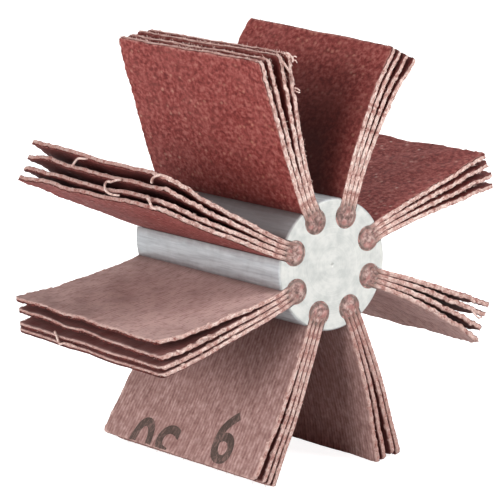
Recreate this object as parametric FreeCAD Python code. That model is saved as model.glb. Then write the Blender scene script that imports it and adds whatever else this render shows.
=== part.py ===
import FreeCAD, Part
import math
import os

# Flap bore polisher, in millimetres.
# The hub axis runs along Y. The rear face of the hub lies in the plane Y = 0 with the tapped hole
# at the origin, and the plain front face looks toward -Y. Z is up.

# Hub
hub_diameter = 19.05
hub_length = 35.0
rim_break = 0.25
centre_mark_radius = 0.35
centre_mark_depth = 0.2

# Tapped hole in the rear face, 1/4-20 UNC, blind. The wall is the tap drill's.
thread_major_diameter = 6.35
thread_height = 0.625
thread_length = 12.7
drill_run_out = 3.0
drill_point_angle = 118.0

# Keyhole slots around the rim, each a round hole with a narrower slot out through the rim.
# The walls left between a round hole and the rim, and between neighbouring holes, give its size.
slot_count = 8
slot_start_angle = 24.0
keyhole_rim_wall = 0.475
keyhole_web = 1.81
keyhole_shoulder = 0.355
slot_side_clearance = 0.05

# Abrasive-cloth flaps. A pack fills its slot, so the cloth is 0.70 thick.
wheel_diameter = 63.5
flaps_in_pack = 4
flap_gap = 0.03
root_depth = 0.9
neck_depth = 0.9
neck_length = 2.8

# Resin beads around the flap roots
bead_clearance = 0.02

# How each pack has set, going counter-clockwise from the right as seen from the front. A pack's
# flaps are listed from its counter-clockwise side.
# front: turn of each flap at the neck, at the front face, in degrees, counter-clockwise positive
# rear: the same at the rear face
# bend: turn of the pack from the neck to the tip
# trims: how far each tip stands beyond the nominal wheel radius
packs = [
    {
        "front": (-2.4, -5.3, -8.3, -10.6), "rear": (-2.9, -5.8, -8.8, -11.1),
        "bend": -3.5, "trims": (-0.4, 0.0, 0.2, -0.2),
    },
    {
        "front": (4.5, 3.2, 1.3, -0.9), "rear": (4.0, 2.7, 0.8, -1.4),
        "bend": -18.0, "trims": (0.4, 0.3, 0.2, 0.2),
    },
    {
        "front": (-3.6, -5.1, -8.7, -10.4), "rear": (-4.4, -6.5, -9.8, -11.8),
        "bend": -6.7, "trims": (0.7, 0.4, 0.1, -0.2),
    },
    {
        "front": (-2.8, -3.8, -6.1, -8.6), "rear": (-2.7, -4.7, -8.0, -11.5),
        "bend": -2.4, "trims": (0.8, 0.3, 0.2, 0.4),
    },
    {
        "front": (-4.6, -5.3, -7.0, -11.6), "rear": (-6.7, -7.1, -10.9, -13.9),
        "bend": -6.4, "trims": (0.4, 0.1, -0.4, -0.4),
    },
    {
        "front": (1.4, 0.9, 0.4, -2.3), "rear": (-2.0, -2.6, -3.2, -5.9),
        "bend": -7.4, "trims": (0.6, 0.6, 0.4, 0.4),
    },
    {
        "front": (-1.1, -1.5, -4.5, -5.8), "rear": (-1.9, -2.3, -5.3, -6.6),
        "bend": -10.7, "trims": (0.3, -0.2, -0.4, -0.4),
    },
    {
        "front": (4.5, 2.2, -1.8, -4.8), "rear": (4.0, 1.7, -2.3, -5.3),
        "bend": -9.7, "trims": (-0.1, -0.5, -0.3, 0.2),
    },
]

hub_radius = hub_diameter / 2
keyhole_spread = 2 * math.sin(math.pi / slot_count)
keyhole_radius = (keyhole_spread * (hub_radius - keyhole_rim_wall) - keyhole_web) / (2 + keyhole_spread)
keyhole_pitch_radius = hub_radius - keyhole_rim_wall - keyhole_radius
slot_width = 2 * (keyhole_radius - keyhole_shoulder)
stack_width = slot_width - 2 * slot_side_clearance
flap_pitch = (stack_width + flap_gap) / flaps_in_pack
flap_thickness = flap_pitch - flap_gap
root_end = keyhole_pitch_radius - root_depth
neck_start = hub_radius - neck_depth


def vec(x, y, z):
    return FreeCAD.Vector(x, y, z)


def slot_angle(index):
    return slot_start_angle + index * 360 / slot_count


def turned(shape, angle):
    """The shape, built on the X axis, turned counter-clockwise as seen from the front."""
    shape.rotate(vec(0, 0, 0), vec(0, 1, 0), -angle)
    return shape


def keyhole_cutter():
    """A round hole with a slot from its centre out through the rim."""
    over = 1.0
    length = hub_length + 2 * over
    hole = Part.makeCylinder(keyhole_radius, length, vec(keyhole_pitch_radius, -hub_length - over, 0), vec(0, 1, 0))
    corner = vec(keyhole_pitch_radius, -hub_length - over, -slot_width / 2)
    slot = Part.makeBox(hub_radius + over - keyhole_pitch_radius, length, slot_width, corner)
    return hole.fuse(slot)


def tapped_hole():
    """Tap-drill bore, open at the rear face, with a drill point at its end."""
    bore_radius = thread_major_diameter / 2 - thread_height
    depth = thread_length + drill_run_out
    point = bore_radius / math.tan(math.radians(drill_point_angle / 2))
    outline = [
        vec(0, 0, 0),
        vec(bore_radius, 0, 0),
        vec(bore_radius, -depth, 0),
        vec(0, -depth - point, 0),
        vec(0, 0, 0),
    ]
    return Part.Face(Part.makePolygon(outline)).revolve(vec(0, 0, 0), vec(0, 1, 0), 360)


def hub():
    """The turned bar with both rims broken, slotted and tapped."""
    outline = [
        vec(0, 0, 0),
        vec(hub_radius - rim_break, 0, 0),
        vec(hub_radius, -rim_break, 0),
        vec(hub_radius, -hub_length + rim_break, 0),
        vec(hub_radius - rim_break, -hub_length, 0),
        vec(0, -hub_length, 0),
        vec(0, 0, 0),
    ]
    body = Part.Face(Part.makePolygon(outline)).revolve(vec(0, 0, 0), vec(0, 1, 0), 360)
    for index in range(slot_count):
        body = body.cut(turned(keyhole_cutter(), slot_angle(index)))
    body = body.cut(tapped_hole())
    mark = Part.makeCone(centre_mark_radius, 0, centre_mark_depth, vec(0, -hub_length, 0), vec(0, 1, 0))
    return body.cut(mark)


def arc_end(point, heading, length, turn):
    """Where an arc of this length ends, and its heading there. Angles are in radians."""
    if abs(turn) < 1e-6:
        return (point[0] + length * math.cos(heading), point[1] + length * math.sin(heading)), heading
    radius = length / turn
    end = heading + turn
    x = point[0] + radius * (math.sin(end) - math.sin(heading))
    z = point[1] - radius * (math.cos(end) - math.cos(heading))
    return (x, z), end


def centre_line(flap, pack, end):
    """Stations along one flap, as (point, heading), from the root end to the tip."""
    offset = ((flaps_in_pack - 1) / 2 - flap) * flap_pitch
    lean = math.radians(pack[end][flap])
    bend = math.radians(pack["bend"])
    reach = wheel_diameter / 2 + pack["trims"][flap]
    blade = reach - neck_start - neck_length
    stations = [((root_end, offset), 0.0), ((neck_start, offset), 0.0)]
    for length, turn in [(neck_length, lean), (blade, bend)]:
        start, heading = stations[-1]
        stations.append(arc_end(start, heading, length / 2, turn / 2))
        stations.append(arc_end(start, heading, length, turn))
    return stations


def beside(station, distance, y):
    """The point at this distance to the left of a station, in the plane Y = y."""
    (x, z), heading = station
    return vec(x - distance * math.sin(heading), y, z + distance * math.cos(heading))


def curve(first, middle, last):
    """An arc through three points, or a line where they are in line."""
    if (middle - (first + last) / 2).Length < 1e-5:
        return Part.makeLine(first, last)
    return Part.Arc(first, middle, last).toShape()


def flap_section(flap, pack, end, y):
    """The closed outline of one flap in a plane across the hub axis."""
    stations = centre_line(flap, pack, end)
    half = flap_thickness / 2
    left = [beside(station, half, y) for station in stations]
    right = [beside(station, -half, y) for station in stations]
    edges = [
        Part.makeLine(left[0], left[1]),
        curve(left[1], left[2], left[3]),
        curve(left[3], left[4], left[5]),
        Part.makeLine(left[5], right[5]),
        curve(right[5], right[4], right[3]),
        curve(right[3], right[2], right[1]),
        Part.makeLine(right[1], right[0]),
        Part.makeLine(right[0], left[0]),
    ]
    return Part.Wire(edges)


def flap_solid(flap, pack, angle):
    """One flap, ruled from its front section to its rear section."""
    front = flap_section(flap, pack, "front", -hub_length)
    rear = flap_section(flap, pack, "rear", 0.0)
    return turned(Part.makeLoft([front, rear], True, True), angle)


def root_bead(angle):
    """The resin in the round part of a keyhole, around the stack of flap roots."""
    radius = keyhole_radius - bead_clearance
    bead = Part.makeCylinder(radius, hub_length, vec(keyhole_pitch_radius, -hub_length, 0), vec(0, 1, 0))
    corner = vec(root_end, -hub_length, -stack_width / 2)
    stack = Part.makeBox(hub_radius, hub_length, stack_width, corner)
    return turned(bead.cut(stack), angle)


def save(name, shape):
    solids = shape.Solids
    solid = solids[0] if len(solids) == 1 else shape
    solid.exportStep("parts/" + name + ".step")
    box = solid.BoundBox
    print(name, "solids", len(solids), "valid", solid.isValid(), "lowest", round(box.ZMin, 3))


os.makedirs("parts", exist_ok=True)
save("hub", hub())
for index, pack in enumerate(packs):
    angle = slot_angle(index)
    save("root_bead_" + str(index + 1), root_bead(angle))
    for flap in range(flaps_in_pack):
        save("flap_" + str(index + 1) + "_" + str(flap + 1), flap_solid(flap, pack, angle))
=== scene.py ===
import bpy
import math
import random
import numpy as np
from mathutils import Matrix, Vector


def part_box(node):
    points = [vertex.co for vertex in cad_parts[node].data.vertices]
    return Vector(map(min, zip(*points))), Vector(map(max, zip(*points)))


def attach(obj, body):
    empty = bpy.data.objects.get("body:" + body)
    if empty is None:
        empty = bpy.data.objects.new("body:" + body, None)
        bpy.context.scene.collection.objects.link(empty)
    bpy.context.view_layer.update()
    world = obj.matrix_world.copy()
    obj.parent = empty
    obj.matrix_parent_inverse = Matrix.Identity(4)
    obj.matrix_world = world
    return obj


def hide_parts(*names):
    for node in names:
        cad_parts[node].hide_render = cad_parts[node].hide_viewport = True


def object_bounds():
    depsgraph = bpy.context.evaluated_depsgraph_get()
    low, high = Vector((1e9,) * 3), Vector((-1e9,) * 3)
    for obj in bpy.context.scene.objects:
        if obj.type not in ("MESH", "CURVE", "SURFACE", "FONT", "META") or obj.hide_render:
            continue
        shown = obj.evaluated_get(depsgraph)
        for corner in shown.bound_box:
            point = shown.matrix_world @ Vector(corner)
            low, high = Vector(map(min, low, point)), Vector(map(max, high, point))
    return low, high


# Flap bore polisher, in metres. The hub axis runs along Y, the front face looks toward -Y, Z is up.

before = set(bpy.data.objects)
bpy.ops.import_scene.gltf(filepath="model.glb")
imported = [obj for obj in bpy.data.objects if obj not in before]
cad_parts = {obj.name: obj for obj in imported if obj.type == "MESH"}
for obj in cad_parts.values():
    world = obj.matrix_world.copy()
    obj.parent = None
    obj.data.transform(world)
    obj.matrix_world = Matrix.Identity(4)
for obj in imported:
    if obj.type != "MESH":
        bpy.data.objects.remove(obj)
cadBox = [list(corner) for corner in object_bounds()]
mm = 0.001
white = (1, 1, 1, 1)
tiny = 1e-6


def say(text):
    print("stage:", text)


def clearSelection():
    if bpy.context.mode != "OBJECT":
        bpy.ops.object.mode_set(mode="OBJECT")
    bpy.ops.object.select_all(action="DESELECT")


def pick(piece):
    clearSelection()
    piece.select_set(True)
    bpy.context.view_layer.objects.active = piece


def named(name):
    piece = bpy.context.object
    piece.name = name
    piece.data.name = name
    return piece


def applyAll(piece):
    pick(piece)
    for modifier in list(piece.modifiers):
        bpy.ops.object.modifier_apply(modifier=modifier.name)


def settle(piece):
    # puts a piece's place into its mesh
    pick(piece)
    bpy.ops.object.transform_apply(location=True, rotation=True, scale=True)


def dress(piece, material):
    piece.data.materials.clear()
    piece.data.materials.append(material)


def smooth(piece, degrees):
    pick(piece)
    bpy.ops.object.shade_smooth_by_angle(angle=math.radians(degrees))


def addBevel(piece, name, width, segments, degrees):
    bevel = piece.modifiers.new(name, "BEVEL")
    bevel.width = width
    bevel.segments = segments
    bevel.limit_method = "ANGLE"
    bevel.angle_limit = math.radians(degrees)


def mergePoints(distance):
    bpy.ops.mesh.select_all(action="SELECT")
    bpy.ops.mesh.remove_doubles(threshold=distance)


def cutAlong(place, normal, drop=False):
    bpy.ops.mesh.select_all(action="SELECT")
    bpy.ops.mesh.bisect(plane_co=place, plane_no=normal, clear_outer=drop)


def hand(piece, slot, *nodes):
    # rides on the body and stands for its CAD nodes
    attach(piece, "root")
    if nodes:
        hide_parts(*nodes)


def srgb(r, g, b):
    # a colour as seen, 0 to 255, made linear for a shader
    def linear(c):
        c = c / 255
        return c / 12.92 if c <= 0.04045 else ((c + 0.055) / 1.055) ** 2.4
    return (linear(r), linear(g), linear(b), 1.0)


camera = {
    "aim": (-9.01 * mm, -27.62 * mm, 2.31 * mm),
    "distance": 400 * mm,
    "azimuth": 37.04,      # degrees to the left of the hub axis
    "elevation": 11.41,
    "roll": -1.28,
    "lens": 203.4,
}


def placeCamera():
    azimuth, elevation, roll = (math.radians(camera[key]) for key in ("azimuth", "elevation", "roll"))
    forward = Vector((
        math.sin(azimuth) * math.cos(elevation),
        math.cos(azimuth) * math.cos(elevation),
        -math.sin(elevation),
    ))
    level = Vector((math.cos(azimuth), -math.sin(azimuth), 0))
    upright = level.cross(forward)
    right = math.cos(roll) * level + math.sin(roll) * upright
    up = math.cos(roll) * upright - math.sin(roll) * level
    bpy.ops.object.camera_add()
    eye = bpy.context.object
    turn = Matrix((right, up, -forward)).transposed().to_4x4()
    eye.matrix_world = Matrix.Translation(Vector(camera["aim"]) - camera["distance"] * forward) @ turn
    eye.data.lens = camera["lens"]
    eye.data.sensor_width = 36
    eye.data.clip_start = 0.01
    bpy.context.scene.camera = eye


stage = {
    "floorSize": 6.0,
    "floorColour": (0.80, 0.80, 0.80, 1),
    "floorGlow": 0.90,          # only for the camera, gloss and glass
    "worldStrength": 0.02,
    "lampDistance": 0.90,
    "lampSize": 0.50,
    "lamps": [
        # name, degrees to the left of the hub axis, height in degrees, watts
        ("frontRightLamp", -30, 25, 4.4),
        ("upperRightLamp", -30, 45, 2.6),
        ("leftLamp", 80, 4, 4.1),
        ("upperLeftLamp", 80, 25, 2.6),
        ("farLeftLamp", 118, 4, 2.0),
        ("rearLamp", -140, 48, 2.2),
    ],
}


def buildStage(lowest):
    clearSelection()
    bpy.ops.mesh.primitive_plane_add(size=stage["floorSize"], location=(0, 0, lowest))
    floor = named("floor")
    settle(floor)
    floor.data.materials.append(floorMaterial())
    middle = Vector((0, -hubLength / 2, 0))
    for name, left, height, watts in stage["lamps"]:
        left, height = math.radians(left), math.radians(height)
        level = math.cos(height)
        way = Vector((-math.sin(left) * level, -math.cos(left) * level, math.sin(height)))
        bpy.ops.object.light_add(type="AREA", location=middle + stage["lampDistance"] * way)
        lamp = named(name)
        lamp.data.size = stage["lampSize"]
        lamp.data.energy = watts
        lamp.rotation_euler = (-way).to_track_quat("-Z", "Y").to_euler()
    world = bpy.data.worlds.new("studio")
    bpy.context.scene.world = world
    n = emptyTree(world)
    lit = n.add("ShaderNodeBackground", Color=white, Strength=stage["worldStrength"])
    seen = n.add("ShaderNodeBackground", Color=white, Strength=1.0)
    mixed = n.join("ShaderNodeMixShader", 1, lit, seen)
    n.put(mixed.inputs["Fac"], seenRays(n))
    n.add("ShaderNodeOutputWorld", Surface=mixed.outputs[0])


def emptyTree(owner):
    owner.use_nodes = True
    owner.node_tree.nodes.clear()
    return Nodes(owner.node_tree)


def seenRays(n):
    # 1 for rays from the camera, in gloss or through glass
    path = n.add("ShaderNodeLightPath").outputs
    direct = n.math("MAXIMUM", path["Is Camera Ray"], path["Is Glossy Ray"])
    return n.math("MAXIMUM", direct, path["Is Transmission Ray"])


def floorMaterial():
    material = bpy.data.materials.new("paleFloor")
    n = emptyTree(material)
    matte = n.add("ShaderNodeBsdfDiffuse", Color=stage["floorColour"])
    strength = n.times(seenRays(n), stage["floorGlow"])
    glow = n.add("ShaderNodeEmission", Color=white, Strength=strength)
    both = n.join("ShaderNodeAddShader", 0, matte, glow)
    n.add("ShaderNodeOutputMaterial", Surface=both.outputs[0])
    return material


class Nodes:
    # short names for placing and joining nodes in one tree
    def __init__(self, tree, look=None):
        self.tree = tree
        self.look = look

    def add(self, kind, **inputs):
        node = self.tree.nodes.new(kind)
        for name, value in inputs.items():
            self.put(node.inputs[name.replace("_", " ")], value)
        return node

    def join(self, kind, first, a, b):
        node = self.tree.nodes.new(kind)
        self.put(node.inputs[first], a.outputs[0])
        self.put(node.inputs[first + 1], b.outputs[0])
        return node

    def put(self, socket, value):
        # value is another node's socket, a constant or a key of the look
        if isinstance(value, bpy.types.NodeSocket):
            self.tree.links.new(value, socket)
        else:
            socket.default_value = self.look[value] if isinstance(value, str) else value

    def math(self, operation, a, b=0.0):
        node = self.tree.nodes.new("ShaderNodeMath")
        node.operation = operation
        self.put(node.inputs[0], a)
        self.put(node.inputs[1], b)
        return node.outputs[0]

    def plus(self, a, b):
        return self.math("ADD", a, b)

    def minus(self, a, b):
        return self.math("SUBTRACT", a, b)

    def times(self, a, b):
        return self.math("MULTIPLY", a, b)

    def weighted(self, *parts):
        # the sum of some values, each times its weight
        total = self.times(*parts[0])
        for value, weight in parts[1:]:
            total = self.plus(total, self.times(value, weight))
        return total

    def mix(self, factor, a, b):
        node = self.tree.nodes.new("ShaderNodeMix")
        node.data_type = "RGBA"
        self.put(node.inputs[0], factor)
        self.put(node.inputs[6], a)
        self.put(node.inputs[7], b)
        return node.outputs[2]

    def layers(self, colour, *parts):
        # colours laid over one another, each as far as its factor says
        for factor, over in parts:
            colour = self.mix(factor, colour, over)
        return colour

    def ramp(self, value, *stops):
        node = self.tree.nodes.new("ShaderNodeValToRGB")
        band = node.color_ramp
        while len(band.elements) < len(stops):
            band.elements.new(0.5)
        for element, (place, colour) in zip(band.elements, stops):
            element.position = place
            element.color = self.look[colour]
        self.put(node.inputs[0], value)
        return node.outputs[0]

    def spread(self, value, low, high, outLow=0.0, outHigh=1.0):
        node = self.tree.nodes.new("ShaderNodeMapRange")
        limits = {"From Min": low, "From Max": high, "To Min": outLow, "To Max": outHigh}
        for name, number in limits.items():
            self.put(node.inputs[name], number)
        self.put(node.inputs["Value"], value)
        return node.outputs["Result"]

    def scaled(self, vector, scale):
        node = self.tree.nodes.new("ShaderNodeMapping")
        self.put(node.inputs["Scale"], scale)
        self.put(node.inputs["Vector"], vector)
        return node.outputs["Vector"]

    def axes(self, vector):
        return self.add("ShaderNodeSeparateXYZ", Vector=vector).outputs

    def objectPlace(self):
        return self.add("ShaderNodeTexCoord").outputs["Object"]

    def fromAxis(self, place):
        # distance from the hub axis
        node = self.tree.nodes.new("ShaderNodeVectorMath")
        node.operation = "LENGTH"
        self.put(node.inputs[0], self.scaled(place, (1, 0, 1)))
        return node.outputs["Value"]

    def kept(self, name, output="Fac"):
        # a value that the mesh keeps at its points
        node = self.tree.nodes.new("ShaderNodeAttribute")
        node.attribute_name = name
        return node.outputs[output]

    def noise(self, vector, scale=1.0, detail=2.0, roughness=0.5):
        node = self.tree.nodes.new("ShaderNodeTexNoise")
        self.put(node.inputs["Vector"], vector)
        self.put(node.inputs["Scale"], scale)
        node.inputs["Detail"].default_value = detail
        node.inputs["Roughness"].default_value = roughness
        return node.outputs["Fac"]

    def flatNoise(self, vector, perMetre, detail=2.0, roughness=0.5):
        # with its own fineness along each axis
        return self.noise(self.scaled(vector, perMetre), 1.0, detail, roughness)

    def cells(self, vector, scale, output="Distance"):
        node = self.tree.nodes.new("ShaderNodeTexVoronoi")
        self.put(node.inputs["Vector"], vector)
        self.put(node.inputs["Scale"], scale)
        return node.outputs[output]


def newGroup(name, look, inputs, outputs):
    # inputs lists (label, kind), and the look's key for the value of those that have one
    group = bpy.data.node_groups.new(name, "ShaderNodeTree")
    for label, kind, *key in inputs:
        socket = group.interface.new_socket(name=label, in_out="INPUT", socket_type=kind)
        if key:
            socket.default_value = look[key[0]]
    for label in outputs:
        group.interface.new_socket(name=label, in_out="OUTPUT", socket_type="NodeSocketFloat")
    start = group.nodes.new("NodeGroupInput")
    end = group.nodes.new("NodeGroupOutput")
    return group, Nodes(group, look), start.outputs, end.inputs


def groupIn(n, group, **inputs):
    node = n.tree.nodes.new("ShaderNodeGroup")
    node.node_tree = group
    for name, value in inputs.items():
        n.put(node.inputs[name.replace("_", " ")], value)
    return node.outputs


def newMaterial(name, look):
    material = bpy.data.materials.new(name)
    material.use_nodes = True
    tree = material.node_tree
    return material, Nodes(tree, look), tree.nodes["Principled BSDF"]


def surface(n, shader, colour, roughness, specular=0.5):
    n.put(shader.inputs["Base Color"], colour)
    n.put(shader.inputs["Roughness"], roughness)
    shader.inputs["Specular IOR Level"].default_value = specular


def bump(n, shader, height, strength, distance):
    node = n.add("ShaderNodeBump", Strength=strength, Distance=distance, Height=height)
    n.put(shader.inputs["Normal"], node.outputs[0])


def nearRoot(n):
    # darker with glue and painted shade at the seam, strongest where a flap goes into its slot, gone 1.5 mm
    # outside the hub
    along = n.axes(n.kept("flat", "Vector"))[0]
    wayOut = hubRadius - flapShape["rootEnd"]
    return n.spread(along, wayOut + 1.5 * mm, wayOut - 0.1 * mm, 0.0, 0.6)


grit = {
    "dark": srgb(102, 33, 30),
    "mid": srgb(141, 61, 57),
    "pale": srgb(172, 100, 93),
    "shine": srgb(214, 150, 124),
    "worn": srgb(206, 150, 140),
    "root": srgb(92, 44, 42),
    "paintedGapShade": srgb(98, 38, 34),
    "paintedFootShade": srgb(48, 16, 14),
    "grainsPerMetre": 1650.0,
    "broadPerMetre": 260.0,
    "stretch": (1.0, 0.72, 1.0),
    "fleckFiner": 2.1,            # than the clumps
    "cellFiner": 1.5,
    "spotCoarser": 0.80,
    "spotsChosen": (0.70, 0.95),  # only a few of the grains shine
    "spotBorder": (0.42, 0.14),
    "wornWidth": 0.45 * mm,
}


def grainGroup():
    # abrasive grains: their height, soft light and dark clumps, and the few grains that shine
    group, n, given, out = newGroup(
        "abrasiveGrain", grit,
        [("Vector", "NodeSocketVector"), ("Grains Per Metre", "NodeSocketFloat", "grainsPerMetre")],
        ["Height", "Clump", "Fleck", "Shine"],
    )
    vector, scale = given[0], given[1]
    clump = n.noise(vector, scale, 2.0, 0.55)
    grain = n.cells(vector, n.times(scale, "cellFiner"))
    spots = n.times(scale, "spotCoarser")
    chosen = n.spread(n.axes(n.cells(vector, spots, "Color"))[0], *grit["spotsChosen"])
    n.put(out["Height"], n.weighted((clump, 0.6), (n.minus(1.0, grain), 0.4)))
    n.put(out["Clump"], clump)
    n.put(out["Fleck"], n.noise(vector, n.times(scale, "fleckFiner"), 2.0, 0.6))
    n.put(out["Shine"], n.times(chosen, n.spread(n.cells(vector, spots), *grit["spotBorder"])))
    return group


def gritMaterial(grain):
    material, n, shader = newMaterial("abrasiveGrit", grit)
    place = n.scaled(n.objectPlace(), "stretch")
    g = groupIn(n, grain, Vector=place, Grains_Per_Metre="grainsPerMetre")
    tone = n.weighted((g["Clump"], 0.80), (g["Fleck"], 0.20))
    broad = n.noise(place, "broadPerMetre", 2.0, 0.6)
    atBorder = n.spread(n.kept("border"), "wornWidth", 0.05 * mm, 0.0, 0.8)
    colour = n.layers(
        n.ramp(tone, (0.36, "dark"), (0.50, "mid"), (0.65, "pale")),
        (n.spread(broad, 0.42, 0.72, 0.0, 0.25), "pale"),
        (n.times(g["Shine"], 0.42), "shine"),
        (n.times(atBorder, n.spread(g["Clump"], 0.40, 0.60)), "worn"),
        # painted shade at the foot of the outer faces
        (n.kept("paintedFootShade"), "paintedFootShade"),
        # darker with glue and painted shade at the root
        (nearRoot(n), "root"),
        # painted shade deep between two flaps
        (n.times(n.kept("shade"), 0.9), "paintedGapShade"),
    )
    surface(n, shader, colour, n.spread(g["Shine"], 0.0, 1.0, 0.80, 0.38), 0.35)
    bump(n, shader, g["Height"], 0.5, 0.2 * mm)
    return material


cloth = {
    "dark": srgb(138, 101, 96),
    "mid": srgb(175, 138, 132),
    "pale": srgb(207, 173, 167),
    "soil": srgb(150, 114, 108),
    "worn": srgb(222, 186, 176),
    "root": srgb(92, 68, 64),
    "paintedGapShade": srgb(112, 56, 52),
    "paintedFootShade": srgb(66, 44, 40),
    "ribsPerMetre": 1600.0,
    "slubsPerMetre": (800, 1100, 1),
    "fuzzPerMetre": (2300, 2100, 1),
    "broadPerMetre": (240, 240, 1),
    "driftPerMetre": (160, 420, 1),
    "drift": 0.7 * mm,            # of the ribs
    "paintedLightLift": 0.17,
    "wornWidth": 0.40 * mm,
}


def weaveGroup():
    # ribs of the cloth backing; Vector is the place on the flat cloth, ribs run along its first axis
    group, n, given, out = newGroup(
        "clothRib", cloth,
        [("Vector", "NodeSocketVector"), ("Ribs Per Metre", "NodeSocketFloat", "ribsPerMetre")],
        ["Rib", "Slub", "Fuzz"],
    )
    vector, scale = given[0], given[1]
    drift = n.times(n.minus(n.flatNoise(vector, "driftPerMetre"), 0.5), "drift")
    phase = n.times(n.times(n.plus(n.axes(vector)[1], drift), scale), math.tau)
    n.put(out["Rib"], n.plus(n.times(n.math("SINE", phase), 0.5), 0.5))
    n.put(out["Slub"], n.flatNoise(vector, "slubsPerMetre", 2.0, 0.55))
    n.put(out["Fuzz"], n.flatNoise(vector, "fuzzPerMetre", 2.0, 0.55))
    return group


def clothMaterial(weave):
    material, n, shader = newMaterial("clothBacking", cloth)
    flat = n.kept("flat", "Vector")
    w = groupIn(n, weave, Vector=flat, Ribs_Per_Metre="ribsPerMetre")
    tone = n.weighted((w["Rib"], 0.11), (w["Slub"], 0.60), (w["Fuzz"], 0.29))
    # painted light: the cloth of some packs lifted paler
    tone = n.plus(tone, n.times(n.kept("paintedLight"), "paintedLightLift"))
    broad = n.flatNoise(flat, "broadPerMetre", 3.0, 0.65)
    atBorder = n.spread(n.kept("border"), "wornWidth", 0.05 * mm, 0.0, 0.7)
    # painted shade deep between two flaps, a little uneven
    paintedGapShade = n.times(n.kept("shade"), n.spread(broad, 0.35, 0.65, 0.88, 1.0))
    colour = n.layers(
        n.ramp(tone, (0.33, "dark"), (0.50, "mid"), (0.66, "pale")),
        (n.spread(broad, 0.42, 0.66, 0.0, 0.38), "soil"),
        (n.times(atBorder, n.spread(w["Slub"], 0.35, 0.60)), "worn"),
        # painted shade at the foot of the outer faces
        (n.kept("paintedFootShade"), "paintedFootShade"),
        # darker with glue and painted shade at the root
        (nearRoot(n), "root"),
        (paintedGapShade, "paintedGapShade"),
    )
    surface(n, shader, colour, n.spread(w["Fuzz"], 0.2, 0.8, 0.78, 0.95), 0.15)
    shader.inputs["Sheen Weight"].default_value = 0.04
    shader.inputs["Sheen Roughness"].default_value = 0.5
    bump(n, shader, n.weighted((w["Rib"], 0.5), (w["Fuzz"], 0.8)), 0.45, 0.09 * mm)
    return material


edge = {
    "shade": srgb(150, 96, 89),
    "yarn": srgb(214, 170, 160),
    "bright": srgb(250, 226, 216),
    "bondDark": srgb(56, 20, 18),
    "bondPale": srgb(112, 54, 49),
    "root": srgb(120, 92, 86),
    "rootPale": srgb(172, 138, 130),
    "yarnsPerMetre": (2300, 2300, 1500),
    "clumpsPerMetre": (620, 620, 500),
    "soilPerMetre": (130, 130, 3000),
    "bondStarts": 0.30,           # as a share of the thickness, from the flap's middle
    "bondWander": 0.45,
    "wearPushes": 0.48,           # how far wear, the tip and the foot move that start
    "tipPulls": 0.43,
    "footPushes": 0.12,
    "foot": (3.5 * mm, 12 * mm),      # from the flap's root end
    "soaked": (9.7 * mm, 8.6 * mm),   # from the hub's axis
}


def cutEdgeGroup():
    # across a cut edge: cloth yarns on one side, the grain's bond on the other
    group, n, given, out = newGroup(
        "cutEdge", edge,
        [
            ("Flat Place", "NodeSocketVector"),
            ("Tip Share", "NodeSocketFloat"),
            ("Tip Wear", "NodeSocketFloat"),
        ],
        ["Bond", "Yarn", "Clump", "Soil"],
    )
    vector, tip, wear = given[0], given[1], given[2]
    place = n.axes(vector)
    yarn = n.flatNoise(vector, "yarnsPerMetre", 2.0, 0.6)
    clump = n.flatNoise(vector, "clumpsPerMetre")
    height = n.math("DIVIDE", place[2], flapShape["thickness"])
    wander = n.times(n.minus(n.plus(yarn, clump), 1.0), "bondWander")
    limit = n.plus("bondStarts", n.times(wear, "wearPushes"))
    limit = n.minus(limit, n.times(tip, "tipPulls"))
    limit = n.plus(limit, n.spread(place[0], *edge["foot"], "footPushes", 0.0))
    n.put(out["Bond"], n.spread(n.minus(n.plus(height, wander), limit), -0.04, 0.10))
    n.put(out["Yarn"], yarn)
    n.put(out["Clump"], clump)
    n.put(out["Soil"], n.flatNoise(vector, "soilPerMetre"))
    return group


def edgeMaterial(cut):
    material, n, shader = newMaterial("cutEdge", edge)
    tip = n.kept("tipShare")
    c = groupIn(n, cut, Flat_Place=n.kept("flat", "Vector"), Tip_Share=tip, Tip_Wear=n.kept("tipWear"))
    tone = n.weighted((c["Yarn"], 0.5), (c["Clump"], 0.5))
    bond = n.mix(n.spread(c["Yarn"], 0.38, 0.66), "bondDark", "bondPale")
    dull = n.mix(n.spread(c["Yarn"], 0.4, 0.62), "root", "rootPale")
    soaked = n.spread(n.fromAxis(n.objectPlace()), *edge["soaked"], 0.0, 0.85)
    colour = n.layers(
        n.ramp(tone, (0.36, "shade"), (0.47, "yarn"), (0.57, "bright")),
        (n.spread(c["Soil"], 0.46, 0.64, 0.0, 0.4), "yarn"),
        (n.times(tip, 0.42), "shade"),
        # painted shade on the cut edges of whole packs
        (n.times(n.kept("dull"), 0.8), "shade"),
        (c["Bond"], bond),
        (soaked, dull),
    )
    surface(n, shader, colour, n.spread(c["Yarn"], 0.2, 0.8, 0.80, 0.96), 0.22)
    bump(n, shader, n.minus(c["Yarn"], n.times(c["Bond"], 0.5)), 0.8, 0.18 * mm)
    return material


looseYarn = {
    "stainedAndShaded": srgb(156, 110, 102),
    "shade": srgb(198, 155, 145),
    "bright": srgb(250, 222, 212),
    "root": srgb(146, 110, 102),
    "twistsPerMetre": 1900.0,
    "stainsPerMetre": 520.0,
    "soaked": (9.6 * mm, 8.4 * mm),
}


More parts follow.
